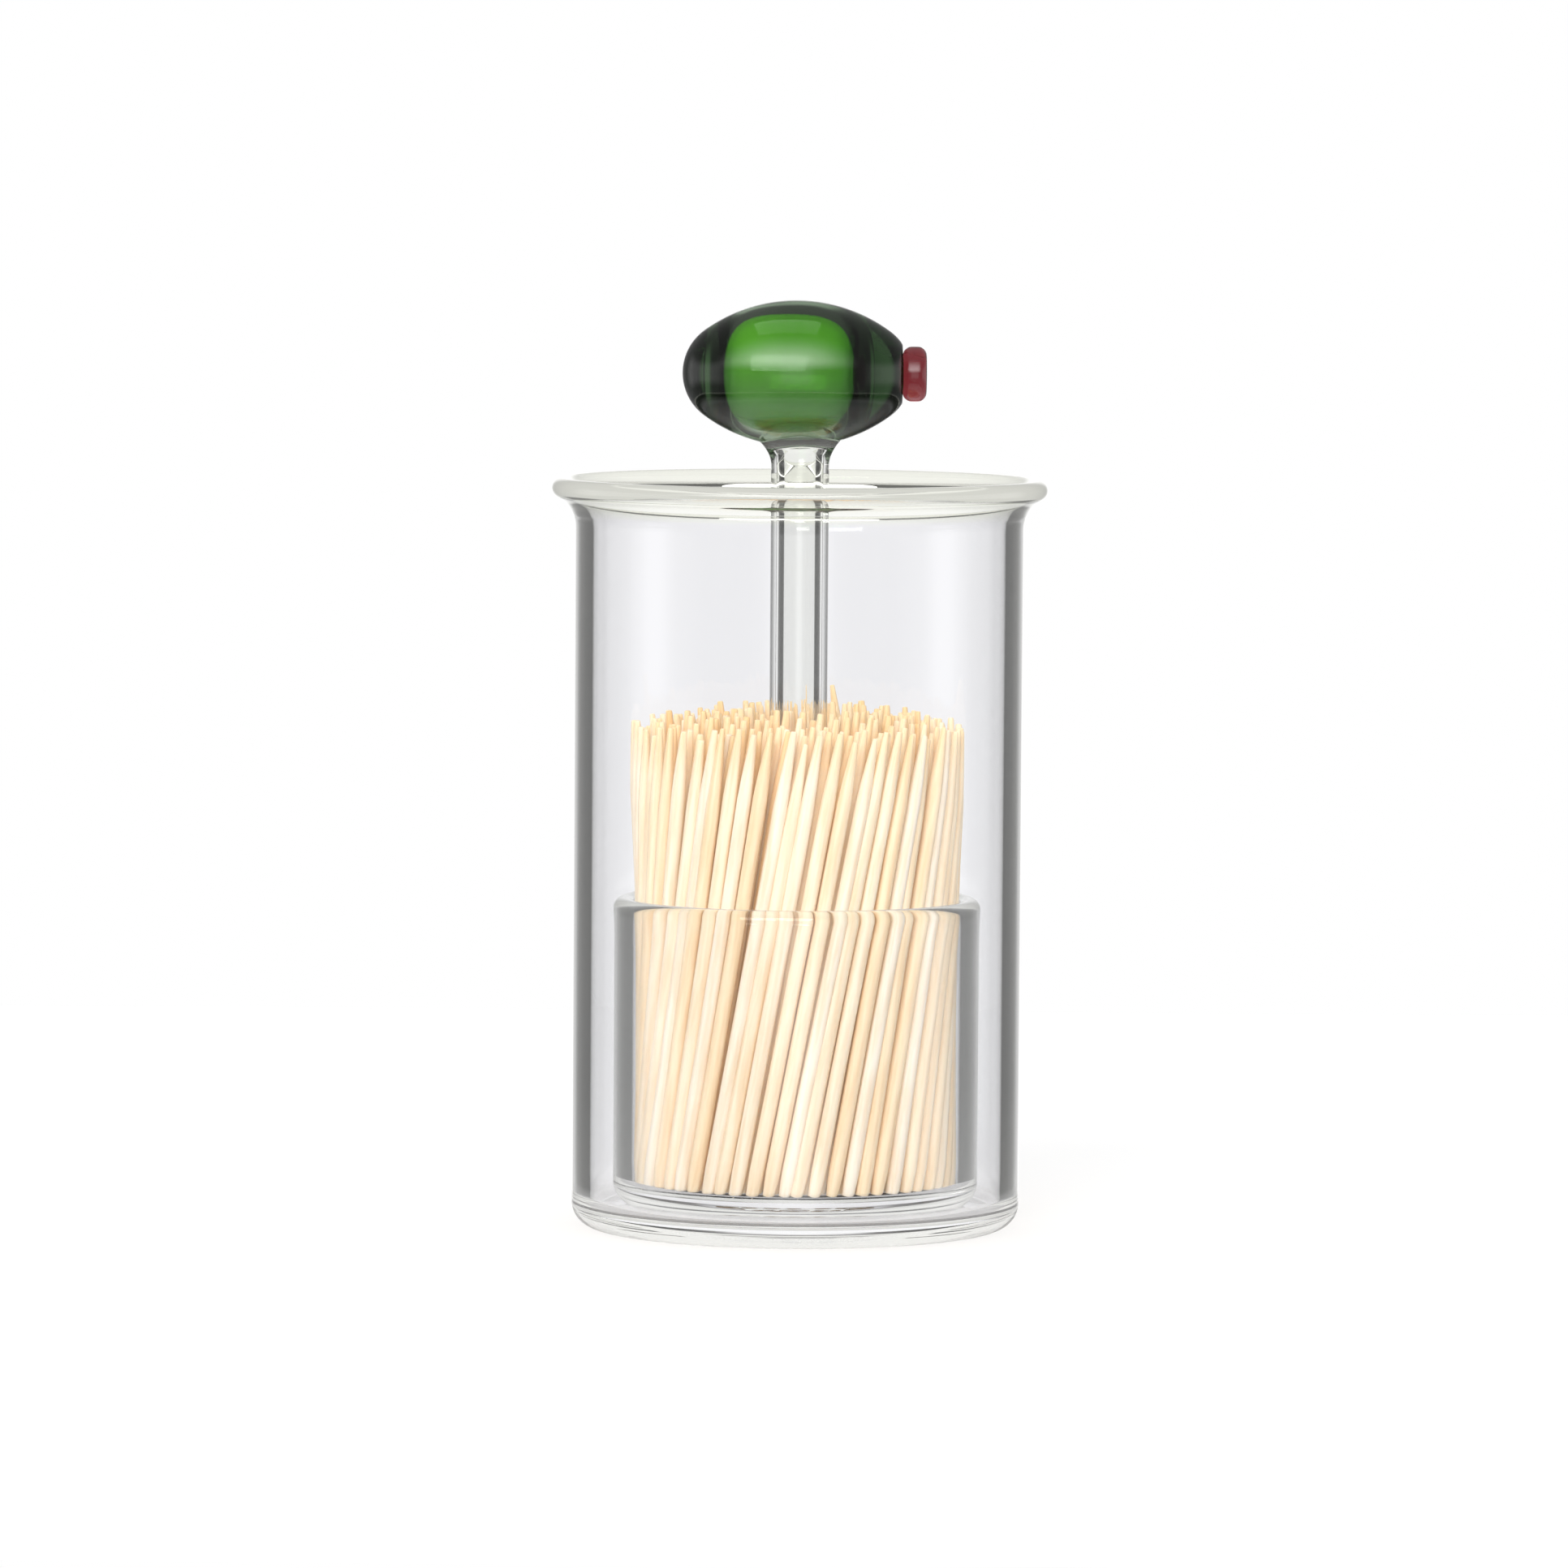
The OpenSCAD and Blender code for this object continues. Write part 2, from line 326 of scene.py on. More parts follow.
def cup_outline():
    """Cup and stem as one body of fused glass, from the underside's middle to the stem's top."""
    in_r = CUP_R - CUP_WALL
    top = CUP_Z + CUP_H - CUP_BEAD
    bead_x = CUP_R - CUP_WALL / 2
    stand = CUP_R - CUP_HEEL - STAND_W
    neck = top - 1.5
    fillet = FOOT_R - STEM_R
    # The foot's upright edge, and in degrees how far the rim's bead runs on past a half circle
    lip, lean = 0.3, 25
    head_flare = math.sqrt(HEAD_FILLET**2 - (HEAD_FILLET - HEAD_R + STEM_R) ** 2)
    head_z = OLIVE_Z - OLIVE[1] - head_flare
    head_a = math.degrees(math.asin(head_flare / HEAD_FILLET))
    points = joined(
        [(x, CUP_Z + y) for x, y in kick(stand, CUP_KICK, 12)],
        line((stand, CUP_Z), (CUP_R - CUP_HEEL, CUP_Z), 4),
        arc(CUP_R - CUP_HEEL, CUP_Z + CUP_HEEL, CUP_HEEL, -90, 0, 20),
        line((CUP_R, CUP_Z + CUP_HEEL), (CUP_R, neck), 16),
        arc(bead_x, top, CUP_BEAD, -lean, 180 + lean, 32),
        line((in_r, neck), (in_r, CUP_FLOOR_Z + CUP_IN_HEEL), 16),
        arc(in_r - CUP_IN_HEEL, CUP_FLOOR_Z + CUP_IN_HEEL, CUP_IN_HEEL, 0, -90, 12),
        line((in_r - CUP_IN_HEEL, CUP_FLOOR_Z), (FOOT_R, CUP_FLOOR_Z), 8),
        arc(FOOT_R, CUP_FLOOR_Z + lip + fillet, fillet, -90, -180, 14),
        line((STEM_R, CUP_FLOOR_Z + lip + fillet), (STEM_R, head_z), 32),
        arc(STEM_R + HEAD_FILLET, head_z, HEAD_FILLET, 180, 180 - head_a, 12),
    )

    def keep(p):
        near_foot = p[0] < FOOT_R + 2 and p[1] < CUP_FLOOR_Z + 1
        near_rim = p[0] > in_r - 1 and p[1] > top - 2
        return not (near_foot or near_rim)

    return eased(points, keep, rounds=4), head_z


def side_r(a, b, e):
    """Radius of the long arcs of an oval of half length a, half width b and end radius e."""
    return (a * a + b * b - 2 * a * e) / (2 * (b - e))


def oval_r(x, a, b, e):
    """Half width of the oval at a distance x from its middle."""
    side = side_r(a, b, e)
    turn = side * (a - e) / (side - e)
    x = abs(x)
    if x <= turn:
        return b - side + math.sqrt(side * side - x * x)
    return math.sqrt(max(0.0, e * e - (x - a + e) ** 2))


def oval_points(a, b, e, steps, stop):
    """The oval's upper half as (x, radius), from its left pole to x = stop."""
    last = math.acos(stop / a)
    points = []
    for i in range(steps + 1):
        x = -a * math.cos((math.pi - last) * i / steps)
        points.append((x, oval_r(x, a, b, e)))
    return points


def barrel_r(x, a, b, full):
    """Half width of a barrel with rounded shoulders, at a distance x from its middle."""
    return b * max(0.0, 1 - abs(x / a) ** full) ** (1 / full)


def barrel_points(a, b, full, steps):
    """The barrel's upper half as (x, radius), from its left pole to its right."""
    points = []
    for i in range(steps + 1):
        x = -a * math.cos(math.pi * i / steps)
        points.append((x, barrel_r(x, a, b, full)))
    return points


# Meshes

def lathe(name, outlines, turns=TURNS, fit=None):
    """Turns outlines of (radius, z) points about Z. Ends that lie on the axis close in a fan."""
    verts, faces = [], []
    for outline in outlines:
        rings = []
        for r, z in outline:
            if r < 1e-6:
                rings.append([len(verts)])
                verts.append(Vector((0, 0, z)))
            else:
                rings.append(list(range(len(verts), len(verts) + turns)))
                for k in range(turns):
                    a = 2 * math.pi * k / turns
                    verts.append(Vector((r * math.cos(a), r * math.sin(a), z)))
        for lower, upper in zip(rings, rings[1:]):
            for k in range(turns):
                n = (k + 1) % turns
                if len(lower) == 1:
                    faces.append((lower[0], upper[n], upper[k]))
                elif len(upper) == 1:
                    faces.append((lower[k], lower[n], upper[0]))
                else:
                    faces.append((lower[k], lower[n], upper[n], upper[k]))
    if fit:
        verts = [fit(v) for v in verts]
    return mesh_object(name, verts, faces)


def mesh_object(name, verts, faces):
    """A smooth mesh object from vertices in millimetres."""
    mesh = bpy.data.meshes.new(name)
    mesh.from_pydata([v * MM for v in verts], [], faces)
    mesh.validate()
    for polygon in mesh.polygons:
        polygon.use_smooth = True
    ob = bpy.data.objects.new(name, mesh)
    bpy.context.scene.collection.objects.link(ob)
    return ob


def outward(ob):
    """Turns the faces of each closed shell of a mesh outwards."""
    bm = bmesh.new()
    bm.from_mesh(ob.data)
    bmesh.ops.recalc_face_normals(bm, faces=bm.faces)
    bm.to_mesh(ob.data)
    bm.free()


def flip_shell(ob, inside):
    """Turns over the faces whose middle inside() accepts."""
    bm = bmesh.new()
    bm.from_mesh(ob.data)
    mine = [f for f in bm.faces if inside(f.calc_center_median() / MM)]
    bmesh.ops.reverse_faces(bm, faces=mine)
    bm.to_mesh(ob.data)
    bm.free()


# Materials

class Nodes:
    """A small helper that adds and links a material's nodes."""

    def __init__(self, name):
        self.mat = bpy.data.materials.new(name)
        self.mat.use_nodes = True
        self.tree = self.mat.node_tree
        self.tree.nodes.clear()
        self.out = self.add("ShaderNodeOutputMaterial")

    def add(self, kind, **values):
        node = self.tree.nodes.new(kind)
        for key, value in values.items():
            setattr(node, key, value)
        return node

    def link(self, a, b):
        self.tree.links.new(a, b)


def noise(n, scale, detail, stretch):
    """Noise in the object's own space, drawn out by stretch."""
    coords = n.add("ShaderNodeTexCoord")
    mapping = n.add("ShaderNodeMapping")
    mapping.inputs["Scale"].default_value = stretch
    tex = n.add("ShaderNodeTexNoise")
    tex.inputs["Scale"].default_value = scale
    tex.inputs["Detail"].default_value = detail
    n.link(coords.outputs["Object"], mapping.inputs["Vector"])
    n.link(mapping.outputs["Vector"], tex.inputs["Vector"])
    return tex


def ramp(n, fac, stops):
    """A colour ramp over fac, from its stops of (position, colour)."""
    node = n.add("ShaderNodeValToRGB")
    el = node.color_ramp.elements
    while len(el) < len(stops):
        el.new(0.5)
    for e, (pos, colour) in zip(el, stops):
        e.position = pos
        e.color = (*colour, 1)
    n.link(fac, node.inputs["Fac"])
    return node


def clear_body(n):
    """The shader of smooth see-through glass."""
    body = n.add("ShaderNodeBsdfPrincipled")
    body.inputs["Roughness"].default_value = 0.0
    body.inputs["IOR"].default_value = GLASS_IOR
    body.inputs["Transmission Weight"].default_value = 1.0
    return body


def uneven_face(n, body, height, strength, depth_mm):
    """Gives a shader's face the bumps of a height."""
    bump = n.add("ShaderNodeBump")
    bump.inputs["Strength"].default_value = strength
    bump.inputs["Distance"].default_value = depth_mm * MM
    n.link(height, bump.inputs["Height"])
    n.link(bump.outputs["Normal"], body.inputs["Normal"])


def glass(name, clear, tint, rim, glow):
    """Clear glass with faint draw lines. rim gives the heights between which it takes on the tint,
    and glow the tone of its painted glow for trapped light, at the foot and above it."""
    n = Nodes(name)
    body = clear_body(n)
    height = height_share(n, *rim)
    colour = ramp(n, height, [(0.0, clear), (1.0, tint)])
    n.link(colour.outputs["Color"], body.inputs["Base Color"])
    lines = noise(n, scale=90, detail=2.0, stretch=(1, 1, 0.08))
    uneven_face(n, body, lines.outputs["Fac"], *DRAW_LINES)
    # Painted light: the glow for trapped light is brighter at the foot than on the wall
    tones = [(at, (tone, tone, tone * PAINTED_GLOW_YELLOW)) for at, tone in zip((0.0, 1.0), glow)]
    inner = ramp(n, height_share(n, *PAINTED_GLOW_HEIGHTS), tones)
    with_painted_glow = painted_trapped_glow(n, body.outputs["BSDF"], inner.outputs["Color"])
    n.link(through_shadow(n, with_painted_glow, CLEAR_SHADOW), n.out.inputs["Surface"])
    return n.mat


def height_share(n, low_mm, high_mm):
    """0 below the first height and 1 above the second."""
    coords = n.add("ShaderNodeTexCoord")
    split = n.add("ShaderNodeSeparateXYZ")
    n.link(coords.outputs["Object"], split.inputs["Vector"])
    height = n.add("ShaderNodeMapRange")
    height.inputs["From Min"].default_value = low_mm * MM
    height.inputs["From Max"].default_value = high_mm * MM
    n.link(split.outputs["Z"], height.inputs["Value"])
    return height.outputs["Result"]


def painted_trapped_glow(n, shader, colour):
    """A painted glow, in a colour or a node's output, replaces light that the glass has mirrored
    three times.
    """
    path = n.add("ShaderNodeLightPath")
    often = n.add("ShaderNodeMath", operation="GREATER_THAN")
    n.link(path.outputs["Glossy Depth"], often.inputs[0])
    often.inputs[1].default_value = OFTEN
    # Painted light: this emission stands in for the light that such rays would still bring back
    glow = n.add("ShaderNodeEmission")
    if isinstance(colour, tuple):
        glow.inputs["Color"].default_value = (*colour, 1)
    else:
        n.link(colour, glow.inputs["Color"])
    mix = n.add("ShaderNodeMixShader")
    n.link(often.outputs["Value"], mix.inputs["Fac"])
    n.link(shader, mix.inputs[1])
    n.link(glow.outputs["Emission"], mix.inputs[2])
    return mix.outputs["Shader"]


def through_shadow(n, shader, colour):
    """Lets light straight through to matt surfaces, tinted, so that what the glass holds is lit."""
    path = n.add("ShaderNodeLightPath")
    either = n.add("ShaderNodeMath", operation="MAXIMUM")
    n.link(path.outputs["Is Shadow Ray"], either.inputs[0])
    n.link(path.outputs["Is Diffuse Ray"], either.inputs[1])
    clear = n.add("ShaderNodeBsdfTransparent")
    clear.inputs["Color"].default_value = (*colour, 1)
    mix = n.add("ShaderNodeMixShader")
    n.link(either.outputs["Value"], mix.inputs["Fac"])
    n.link(shader, mix.inputs[1])
    n.link(clear.outputs["BSDF"], mix.inputs[2])
    return mix.outputs["Shader"]


def coloured_glass(name, surface, deep, density, glow, shadow, lining=None):
    """Glass that takes its colour from its depth, and from a lining where the mesh says so."""
    n = Nodes(name)
    body = clear_body(n)
    cloud = noise(n, scale=110, detail=3.0, stretch=(0.5, 1, 1))
    low = tuple(c * CLOUD_TONE for c in surface)
    colour = ramp(n, cloud.outputs["Fac"], [(0.3, low), (0.7, surface)])
    if lining:
        where = n.add("ShaderNodeAttribute", attribute_name="lining")
        # Painted shade and a painted reflection: the lining is darker and greyer low down
        height = height_share(n, *(OLIVE_Z + z for z in LINING_PAINTED_SHADE_HEIGHTS))
        tone = ramp(n, height, [(0.0, lining[0]), (1.0, lining[1])])
        mix = n.add("ShaderNodeMix", data_type="RGBA")
        n.link(where.outputs["Fac"], mix.inputs["Factor"])
        n.link(colour.outputs["Color"], mix.inputs["A"])
        n.link(tone.outputs["Color"], mix.inputs["B"])
        n.link(mix.outputs["Result"], body.inputs["Base Color"])
    else:
        n.link(colour.outputs["Color"], body.inputs["Base Color"])
    uneven_face(n, body, cloud.outputs["Fac"], *CLOUDS)
    depth = n.add("ShaderNodeVolumeAbsorption")
    depth.inputs["Color"].default_value = (*deep, 1)
    depth.inputs["Density"].default_value = density
    n.link(depth.outputs["Volume"], n.out.inputs["Volume"])
    # Painted light: a faint glow stands in for the light trapped in this glass
    with_painted_glow = painted_trapped_glow(n, body.outputs["BSDF"], glow)
    n.link(through_shadow(n, with_painted_glow, shadow), n.out.inputs["Surface"])
    return n.mat


def wood(name):
    """Raw bamboo: each toothpick has its own tone, with long fibres along it, and a faint painted
    glow that lifts the shade between the toothpicks.
    """
    n = Nodes(name)
    body = n.add("ShaderNodeBsdfPrincipled")
    body.inputs["Roughness"].default_value = 0.62
    body.inputs["Specular IOR Level"].default_value = 0.3
    body.inputs["Subsurface Weight"].default_value = 0.35
    body.inputs["Subsurface Radius"].default_value = (1.0, 0.8, 0.6)
    body.inputs["Subsurface Scale"].default_value = 1.5 * MM
    # Painted light: a faint glow lifts the shade between the toothpicks
    body.inputs["Emission Color"].default_value = (*WOOD_PAINTED_GLOW, 1)
    body.inputs["Emission Strength"].default_value = WOOD_PAINTED_GLOW_STRENGTH
    tone = n.add("ShaderNodeAttribute", attribute_name="tone")
    along = n.add("ShaderNodeAttribute", attribute_name="grain")
    fibre = n.add("ShaderNodeTexNoise")
    fibre.inputs["Scale"].default_value = 1.0
    fibre.inputs["Detail"].default_value = 4.0
    n.link(along.outputs["Vector"], fibre.inputs["Vector"])
    base = ramp(n, tone.outputs["Fac"], WOOD_TONES)
    streak = ramp(n, fibre.outputs["Fac"], STREAKS)
    mix = n.add("ShaderNodeMix", data_type="RGBA", blend_type="MULTIPLY")
    mix.inputs["Factor"].default_value = STREAK_SHARE
    n.link(base.outputs["Color"], mix.inputs["A"])
    n.link(streak.outputs["Color"], mix.inputs["B"])
    browned = n.add("ShaderNodeMix", data_type="RGBA", blend_type="MULTIPLY")
    n.link(height_share(n, BROWN_FROM, BROWN_TO), browned.inputs["Factor"])
    n.link(mix.outputs["Result"], browned.inputs["A"])
    browned.inputs["B"].default_value = (*WOOD_BROWN, 1)
    n.link(browned.outputs["Result"], body.inputs["Base Color"])
    uneven_face(n, body, fibre.outputs["Fac"], *FIBRES)
    n.link(body.outputs["BSDF"], n.out.inputs["Surface"])
    return n.mat


# Glass pieces

def head_fit(head_z):
    """Lifts the stem's head so that its top follows the olive's round underside."""
    top = OLIVE_Z - OLIVE[1]

    def fit(v):
        share = (v.z - head_z) / (top - head_z)
        # Below the head and outside it nothing moves
        if share <= 0 or math.hypot(v.x, v.y) > HEAD_R + 0.1:
            return v
        half = oval_r(v.x - OLIVE_SHIFT, *OLIVE)
        under = OLIVE_Z - math.sqrt(max(0.0, half * half - v.y * v.y)) + SEAL
        return Vector((v.x, v.y, v.z + share**2 * (under - top)))

    return fit


def make_cup():
    """Cup and stem, with the bore open under the olive."""
    outline, head_z = cup_outline()
    rim_z = outline[-1][1]
    bottom = CUP_FLOOR_Z + BORE_BOTTOM
    bore = joined(
        [(HEAD_R + (BORE_TOP_R - HEAD_R) * i / 8, rim_z) for i in range(1, 9)],
        line((BORE_TOP_R, rim_z), (BORE_R, rim_z - BORE_FLARE), 6),
        line((BORE_R, rim_z - BORE_FLARE), (BORE_R, bottom + BORE_CORNER), 30),
        arc(BORE_R - BORE_CORNER, bottom + BORE_CORNER, BORE_CORNER, 0, -90, 6),
        [(0, bottom)],
    )
    ob = lathe("cup_and_stem", [outline + bore], fit=head_fit(head_z))
    outward(ob)
    return ob


def about_x(v):
    """Lays a lathed form down, so that its axis runs along X through the olive's middle."""
    return Vector((v.z + OLIVE_SHIFT, v.x, v.y + OLIVE_Z))


def olive_cut():
    """Where along the olive its end is cut off for the mouth."""
    a, _, e = OLIVE
    return a - e + math.sqrt(e * e - MOUTH_R * MOUTH_R)


def make_olive():
    """The olive with its mouth and its hollow, whose vertices are marked as the lining."""
    cut = olive_cut()
    outer = [(r, x) for x, r in oval_points(*OLIVE, 64, cut)]
    mouth = joined(
        [outer[-1]],
        line(outer[-1], (PLUG_R, cut), 5),
        [(PLUG_R, cut), (PLUG_R, cut - PLUG_L), (0, cut - PLUG_L)],
    )
    cavity = [(r, x + CAVITY_SHIFT) for x, r in barrel_points(*CAVITY, 64)]
    body = joined(outer, mouth)
    body[0] = (0, body[0][1])
    cavity[0] = (0, cavity[0][1])
    cavity[-1] = (0, cavity[-1][1])
    ob = lathe("olive_glass", [body, cavity], turns=128, fit=about_x)
    outward(ob)
    mid = Vector((OLIVE_SHIFT + CAVITY_SHIFT, 0, OLIVE_Z))
    # How far outside the hollow's outline a point still counts as in it, round it and at its ends
    slack, end_slack = 0.2, 0.01

    def in_hollow(c):
        d = c - mid
        beside = math.hypot(d.y, d.z) < barrel_r(d.x, *CAVITY) + slack
        return beside and abs(d.x) < CAVITY[0] + end_slack

    flip_shell(ob, in_hollow)
    lining = ob.data.attributes.new("lining", "FLOAT", "POINT")
    lining.data.foreach_set("value", [float(in_hollow(v.co / MM)) for v in ob.data.vertices])
    return ob


def make_pimento():
    """The red button with a dimple in its end and a plug that fills the olive's mouth."""
    cut = olive_cut()
    flat = PIMENTO_R - PIMENTO_EDGE
    plug_end = cut - PLUG_L - SEAL
    end = cut + PIMENTO_L
    dome = (DIMPLE_R**2 + DIMPLE_DEEP**2) / (2 * DIMPLE_DEEP)
    half = math.degrees(math.asin(DIMPLE_R / dome))
    outline = joined(
        [(0, plug_end), (PLUG_R + SEAL, plug_end), (PLUG_R + SEAL, cut - SEAL)],
        [(flat, cut - SEAL)],
        arc(flat, cut + PIMENTO_EDGE, PIMENTO_EDGE, -88, 0, 14),
        arc(flat, end - PIMENTO_EDGE, PIMENTO_EDGE, 0, 90, 14),
        arc(0, end - DIMPLE_DEEP + dome, dome, -90 + half, -90, 10),
    )
    outline[-1] = (0, outline[-1][1])
    outline = eased(outline, lambda p: p[1] < end - 0.5, rounds=3)
    ob = lathe("pimento_glass", [outline], turns=96, fit=about_x)
    outward(ob)
    return ob


# Toothpicks

def pick_axes(node):
    """Foot and top of each toothpick of a CAD node, read from its mesh's loose parts."""
    mesh = bpy.data.objects[node].data
    parent = list(range(len(mesh.vertices)))
    # The CAD mesh is split along its edges, so vertices at one place are joined first
    first = {}
    for v in mesh.vertices:
        parent[v.index] = first.setdefault(tuple(round(c * 1e6) for c in v.co), v.index)

    def root(i):
        while parent[i] != i:
            parent[i] = parent[parent[i]]
            i = parent[i]
        return i

    for e in mesh.edges:
        a, b = root(e.vertices[0]), root(e.vertices[1])
        if a != b:
            parent[a] = b
    groups = {}
    for v in mesh.vertices:
        groups.setdefault(root(v.index), []).append(v.co.copy())
    # An end is the middle of the vertices this near to its height
    near = 0.3 * MM
    axes = []
    for points in groups.values():
        low = min(p.z for p in points)
        high = max(p.z for p in points)
        foot = [p for p in points if p.z < low + near]
        top = [p for p in points if p.z > high - near]
        axes.append((sum(foot, Vector()) / len(foot), sum(top, Vector()) / len(top)))
    return sorted(axes, key=lambda a: (round(a[0].x, 6), round(a[0].y, 6)))


def nudged(point, rng, round_mm, sink_mm):
    """Moves a toothpick's end by a random amount, about round_mm round the stem and about sink_mm
    down and a little inwards."""
    out = Vector((point.x, point.y, 0)).normalized()
    round_by = max(-WANDER_MOST, min(WANDER_MOST, rng.gauss(0, 1))) * round_mm
    sink_by = abs(rng.gauss(0, 1)) * sink_mm
    move = out.cross(Vector((0, 0, 1))) * round_by
    move = move - out * sink_by * LEAN_IN - Vector((0, 0, sink_by))
    return point + move * MM


def tapered(blunt, taper):
    """Distances and half widths along a toothpick's end, from its blunt tip to its full width."""
    # The tip's edge is broken, and the taper swells a little and runs out softly
    flat, edge = 0.75, 0.12
    swell, run_out = 0.9, 1.1
    end = [(0.0, blunt * flat), (edge, blunt)]
    for t in (0.25, 0.5, 0.75):
        end.append((taper * t, blunt + (PICK_R - blunt) * t**swell))
    return end + [(taper * run_out, PICK_R)]


def make_picks(name, node, rng, uneven=0.0, lift=0.0):
    """Bamboo toothpicks on the axes of a CAD node, each with its own tone and an uneven shape."""
    verts, faces, tones, grains = [], [], [], []
    for foot, top in pick_axes(node):
        if uneven:
            top = nudged(top, rng, uneven, uneven * SINK_SHARE)
            top.z += rng.uniform(lift / 3, lift) * MM
            if math.hypot(foot.x, foot.y) > OUTER_RING_R * MM:
                top += Vector((top.x, top.y, 0)).normalized() * LEAN_OUT * MM
            foot = nudged(foot, rng, uneven * FOOT_SHARE, 0.0)
        length = (top - foot).length / MM
        way = (top - foot).normalized()
        side = way.orthogonal().normalized()
        other = way.cross(side)
        tone = min(1.0, max(0.0, rng.gauss(TONE_MEAN, TONE_SPREAD)))
        offset = rng.uniform(0, FIBRE_PLACES)
        spin = rng.uniform(0, 2 * math.pi)
        blunt = rng.uniform(*TIP_R)
        tip = tapered(blunt, TAPER_L * rng.uniform(*TAPER_SPREAD))
        heel = tapered(blunt + FOOT_WIDER, FOOT_TAPER)
        mid = [(length * s, PICK_R * rng.uniform(THIN, 1.0)) for s in (0.3, 0.5, 0.7)]
        stations = heel + mid + [(length - at, r) for at, r in reversed(tip)]
        start = len(verts)
        for at, r in stations:
            for k in range(PICK_SIDES):
                a = spin + 2 * math.pi * k / PICK_SIDES
                p = foot / MM + way * at + (side * math.cos(a) + other * math.sin(a)) * r
                verts.append(p)
                tones.append(tone)
                across = (FIBRE_ROUND * math.cos(a), FIBRE_ROUND * math.sin(a))
                grains.append((offset + across[0], across[1], at * FIBRE_ALONG))
        for j in range(len(stations) - 1):
            i = start + j * PICK_SIDES
            up = i + PICK_SIDES
            for k in range(PICK_SIDES):
                n = (k + 1) % PICK_SIDES
                faces.append((i + k, i + n, up + n, up + k))
        last = start + (len(stations) - 1) * PICK_SIDES
        faces.append(tuple(start + k for k in reversed(range(PICK_SIDES))))
        faces.append(tuple(last + k for k in range(PICK_SIDES)))
    ob = mesh_object(name, verts, faces)
    tone_at = ob.data.attributes.new("tone", "FLOAT", "POINT")
    tone_at.data.foreach_set("value", tones)
    grain_at = ob.data.attributes.new("grain", "FLOAT_VECTOR", "POINT")
    grain_at.data.foreach_set("vector", [c for g in grains for c in g])
    return ob


def dress(ob, mat):
    """Gives a piece its one material."""
    ob.data.materials.clear()
    ob.data.materials.append(mat)


# Stage

def make_floor():
    """White paper with a little light of its own, which only straight and bent views see."""
    half, n = FLOOR_HALF, FLOOR_CELLS
    verts = []
    for j in range(n + 1):
        for i in range(n + 1):
            verts.append(Vector((half * (2 * i / n - 1), half * (2 * j / n - 1), 0)) / MM)
    faces = [
        (j * (n + 1) + i, j * (n + 1) + i + 1, (j + 1) * (n + 1) + i + 1, (j + 1) * (n + 1) + i)
        for j in range(n)
        for i in range(n)
    ]
    ob = mesh_object("studio_floor", verts, faces)
    m = Nodes("floor_white")
    paper = m.add("ShaderNodeBsdfDiffuse")
    paper.inputs["Color"].default_value = (FLOOR_PAPER, FLOOR_PAPER, FLOOR_PAPER, 1)
    path = m.add("ShaderNodeLightPath")
    seen = m.add("ShaderNodeMath", operation="MAXIMUM")
    m.link(path.outputs["Is Camera Ray"], seen.inputs[0])
    m.link(path.outputs["Is Transmission Ray"], seen.inputs[1])
    glow = m.add("ShaderNodeEmission")
    m.link(seen.outputs["Value"], glow.inputs["Strength"])
    glow.inputs["Color"].default_value = (FLOOR_LIGHT, FLOOR_LIGHT, FLOOR_LIGHT, 1)
    both = m.add("ShaderNodeAddShader")
    m.link(paper.outputs["BSDF"], both.inputs[0])
    m.link(glow.outputs["Emission"], both.inputs[1])
    # Away from the jar's foot the floor ends for mirrored rays, so the dark walls show there
    coords = m.add("ShaderNodeTexCoord")
    length = m.add("ShaderNodeVectorMath", operation="LENGTH")
    m.link(coords.outputs["Object"], length.inputs[0])
    far = m.add("ShaderNodeMapRange")
    far.inputs["From Min"].default_value = FLOOR_SHOWN
    far.inputs["From Max"].default_value = FLOOR_GONE
    m.link(length.outputs["Value"], far.inputs["Value"])
    once = m.add("ShaderNodeMath", operation="MINIMUM")
    once.inputs[1].default_value = 1.0
    m.link(path.outputs["Glossy Depth"], once.inputs[0])
    gone = m.add("ShaderNodeMath", operation="MULTIPLY")
    m.link(far.outputs["Result"], gone.inputs[0])
    m.link(once.outputs["Value"], gone.inputs[1])
    open_air = m.add("ShaderNodeBsdfTransparent")
    mix = m.add("ShaderNodeMixShader")
    m.link(gone.outputs["Value"], mix.inputs["Fac"])
    m.link(both.outputs["Shader"], mix.inputs[1])
    m.link(open_air.outputs["BSDF"], mix.inputs[2])
    m.link(mix.outputs["Shader"], m.out.inputs["Surface"])
    dress(ob, m.mat)


